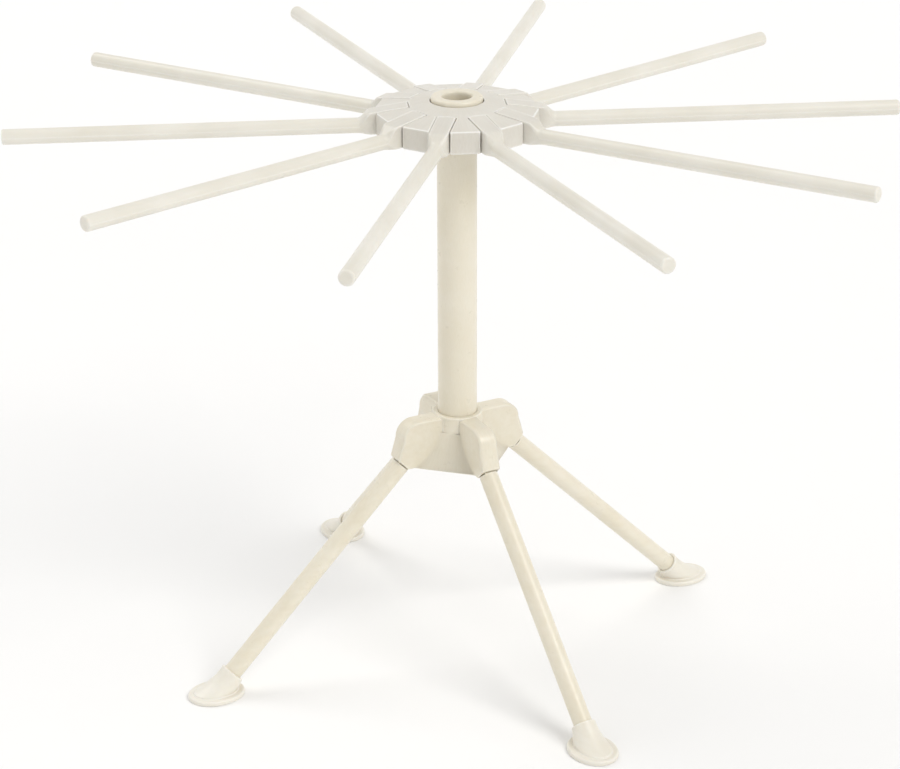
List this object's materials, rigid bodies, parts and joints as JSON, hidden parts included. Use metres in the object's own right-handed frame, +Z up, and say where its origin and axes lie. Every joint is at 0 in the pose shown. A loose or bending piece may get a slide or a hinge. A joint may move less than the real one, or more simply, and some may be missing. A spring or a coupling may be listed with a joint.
{
  "type": "pasta drying rack",
  "caption": "Folding stand for drying fresh pasta: round arms fan out from a turning hub on a hollow pole, above splayed folding legs with oval feet.",
  "frame": {"origin": "on the floor, under the middle of the pole", "axes": "+Z up along the pole; the legs stand on the diagonals between X and Y"},
  "size_m": [0.3906, 0.3992, 0.2684],
  "materials": {
    "hub_plastic": "satin",
    "arm_plastic": "semi-gloss",
    "stand_plastic": "semi-gloss"
  },
  "bodies": {
    "base": {"base_hub": "stand_plastic", "pole": "stand_plastic", "pole_cap": "stand_plastic"},
    "hub": {"hub_body": "hub_plastic"},
    "arm_01": {"arm_01": "arm_plastic"},
    "arm_02": {"arm_02": "arm_plastic"},
    "arm_03": {"arm_03": "arm_plastic"},
    "arm_04": {"arm_04": "arm_plastic"},
    "arm_05": {"arm_05": "arm_plastic"},
    "arm_06": {"arm_06": "arm_plastic"},
    "arm_07": {"arm_07": "arm_plastic"},
    "arm_08": {"arm_08": "arm_plastic"},
    "arm_09": {"arm_09": "arm_plastic"},
    "arm_10": {"arm_10": "arm_plastic"},
    "leg_1": {"leg_1": "stand_plastic", "foot_1": "stand_plastic"},
    "leg_2": {"leg_2": "stand_plastic", "foot_2": "stand_plastic"},
    "leg_3": {"leg_3": "stand_plastic", "foot_3": "stand_plastic"},
    "leg_4": {"leg_4": "stand_plastic", "foot_4": "stand_plastic"}
  },
  "joints": [
    {"name": "hub_turn", "type": "hinge", "parent": "base", "child": "hub", "pos_m": [0, 0, 0.2525], "axis": [0, 0, 1], "continuous": true},
    {"name": "arm_01_fold", "type": "hinge", "parent": "hub", "child": "arm_01", "pos_m": [0.02399, 0.01003, 0.257], "axis": [-0.3859, 0.9225, 0], "range_deg": [0, 78]},
    {"name": "arm_02_fold", "type": "hinge", "parent": "hub", "child": "arm_02", "pos_m": [0.01351, 0.02222, 0.257], "axis": [-0.8545, 0.5195, 0], "range_deg": [0, 78]},
    {"name": "arm_03_fold", "type": "hinge", "parent": "hub", "child": "arm_03", "pos_m": [-0.00213, 0.02591, 0.257], "axis": [-0.9966, -0.0819, 0], "range_deg": [0, 78]},
    {"name": "arm_04_fold", "type": "hinge", "parent": "hub", "child": "arm_04", "pos_m": [-0.01696, 0.01971, 0.257], "axis": [-0.7581, -0.6521, 0], "range_deg": [0, 78]},
    {"name": "arm_05_fold", "type": "hinge", "parent": "hub", "child": "arm_05", "pos_m": [-0.0253, 0.00598, 0.257], "axis": [-0.23, -0.9732, 0], "range_deg": [0, 78]},
    {"name": "arm_06_fold", "type": "hinge", "parent": "hub", "child": "arm_06", "pos_m": [-0.02399, -0.01003, 0.257], "axis": [0.3859, -0.9225, 0], "range_deg": [0, 78]},
    {"name": "arm_07_fold", "type": "hinge", "parent": "hub", "child": "arm_07", "pos_m": [-0.01351, -0.02222, 0.257], "axis": [0.8545, -0.5195, 0], "range_deg": [0, 78]},
    {"name": "arm_08_fold", "type": "hinge", "parent": "hub", "child": "arm_08", "pos_m": [0.00213, -0.02591, 0.257], "axis": [0.9966, 0.0819, 0], "range_deg": [0, 78]},
    {"name": "arm_09_fold", "type": "hinge", "parent": "hub", "child": "arm_09", "pos_m": [0.01696, -0.01971, 0.257], "axis": [0.7581, 0.6521, 0], "range_deg": [0, 78]},
    {"name": "arm_10_fold", "type": "hinge", "parent": "hub", "child": "arm_10", "pos_m": [0.0253, -0.00598, 0.257], "axis": [0.23, 0.9732, 0], "range_deg": [0, 78]},
    {"name": "leg_1_fold", "type": "hinge", "parent": "base", "child": "leg_1", "pos_m": [0.01485, 0.01485, 0.1043], "axis": [-0.7071, 0.7071, 0], "range_deg": [0, 45.6]},
    {"name": "leg_2_fold", "type": "hinge", "parent": "base", "child": "leg_2", "pos_m": [-0.01485, 0.01485, 0.1043], "axis": [-0.7071, -0.7071, 0], "range_deg": [0, 45.6]},
    {"name": "leg_3_fold", "type": "hinge", "parent": "base", "child": "leg_3", "pos_m": [-0.01485, -0.01485, 0.1043], "axis": [0.7071, -0.7071, 0], "range_deg": [0, 45.6]},
    {"name": "leg_4_fold", "type": "hinge", "parent": "base", "child": "leg_4", "pos_m": [0.01485, -0.01485, 0.1043], "axis": [0.7071, 0.7071, 0], "range_deg": [0, 45.6]}
  ]
}
